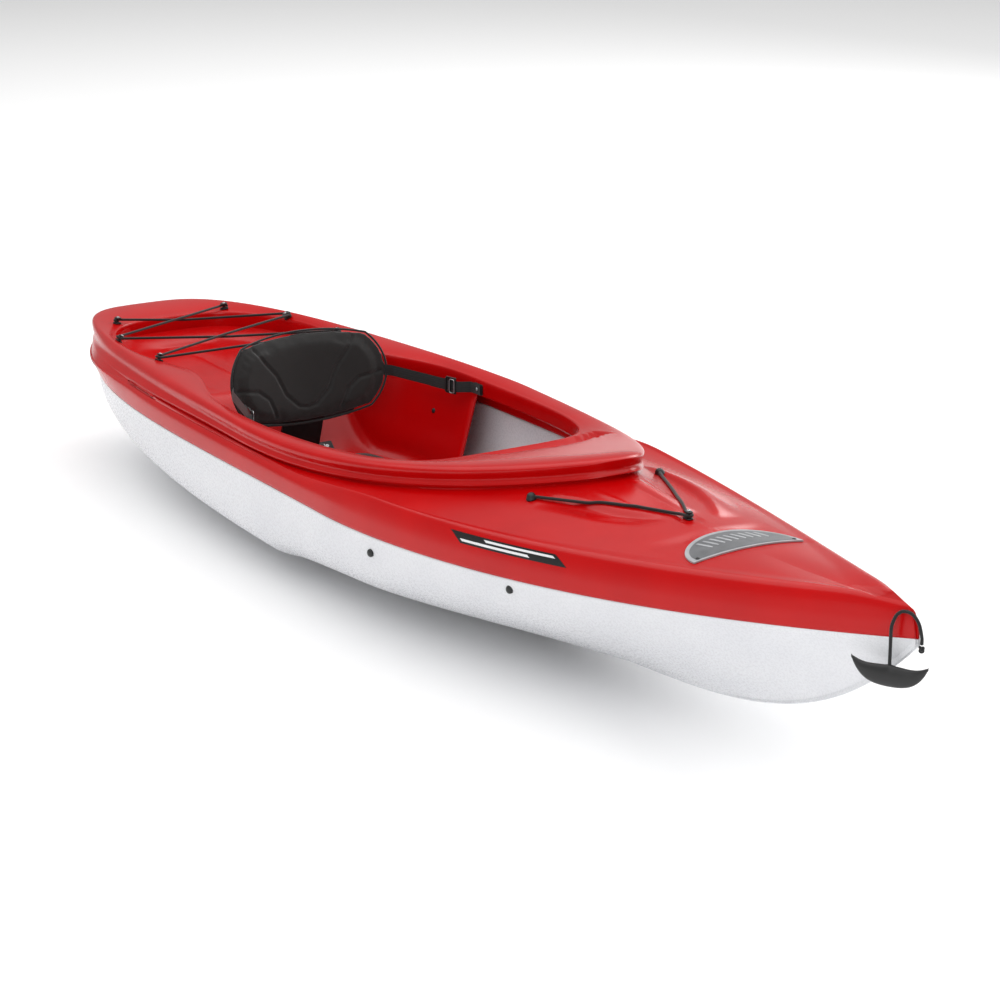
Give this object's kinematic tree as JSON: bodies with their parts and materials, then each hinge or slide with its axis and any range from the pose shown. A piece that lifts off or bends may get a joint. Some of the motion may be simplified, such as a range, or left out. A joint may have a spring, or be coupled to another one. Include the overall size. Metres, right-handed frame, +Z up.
{
  "type": "recreational sit-in kayak",
  "caption": "Ten foot sit-in recreational kayak: red deck on a white hull, padded reclining backrest, tank well with lacing, deck cord and bow carry toggle.",
  "frame": {"origin": "on the flat of the hull bottom, on the centre plane, near the middle of the length", "axes": "+X to the bow, +Y to port, +Z up"},
  "size_m": [3.0902, 0.716, 0.4413],
  "materials": {
    "white_shell": "glossy thermoformed polyethylene",
    "red_shell": "glossy thermoformed polyethylene",
    "flotation_foam": "closed cell foam",
    "seat_fabric": "moulded foam under woven polyester",
    "black_plastic": "moulded nylon, fine grain",
    "steel": "stainless, satin",
    "grey_plate": "satin moulded plate",
    "webbing": "woven polypropylene webbing",
    "shock_cord": "braided sheath",
    "rope": "braided polyester"
  },
  "bodies": {
    "boat": {"hull": "white_shell", "deck": "red_shell", "bow_foam": "flotation_foam", "stern_foam": "flotation_foam", "seat_cushion": "seat_fabric", "backrest_bracket_port": "black_plastic", "backrest_bracket_starboard": "black_plastic", "backrest_bracket_screws": "steel", "backrest_hinge_pin": "steel", "strap_port": "webbing", "strap_starboard": "webbing", "buckle_port": "black_plastic", "buckle_starboard": "black_plastic", "strap_anchors": "black_plastic", "strap_anchor_screws": "steel", "footrest_rail_port": "black_plastic", "footrest_rail_starboard": "black_plastic", "footrest_bolts": "steel", "rear_hooks": "black_plastic", "rear_hook_screws": "steel", "rear_bungee": "shock_cord", "front_anchors": "black_plastic", "front_bungee": "shock_cord", "front_hook": "black_plastic", "front_hook_screw": "steel", "nameplate": "grey_plate", "nameplate_screws": "steel", "bow_rope": "rope", "rope_knot": "rope", "drain_seat": "black_plastic", "drain_plug": "black_plastic"},
    "backrest": {"backrest_pad": "seat_fabric", "backrest_plate": "black_plastic"},
    "peg_port": {"foot_peg_port": "black_plastic"},
    "peg_starboard": {"foot_peg_starboard": "black_plastic"},
    "toggle": {"bow_toggle": "black_plastic"}
  },
  "joints": [
    {"name": "backrest_recline", "type": "hinge", "parent": "boat", "child": "backrest", "pos_m": [-0.668, 0, 0.115], "axis": [0, 1, 0], "range_deg": [-10, 30]},
    {"name": "foot_peg_port_slide", "type": "slide", "parent": "boat", "child": "peg_port", "axis": [0.9802, -0.1854, 0.0697], "range_m": [-0.13, 0.13]},
    {"name": "foot_peg_starboard_slide", "type": "slide", "parent": "boat", "child": "peg_starboard", "axis": [0.9802, 0.1854, 0.0697], "range_m": [-0.13, 0.13]},
    {"name": "toggle_swivel", "type": "hinge", "parent": "boat", "child": "toggle", "pos_m": [1.493, -0.03, 0.281], "axis": [0, 0, 1], "range_deg": [-10, 60]}
  ]
}
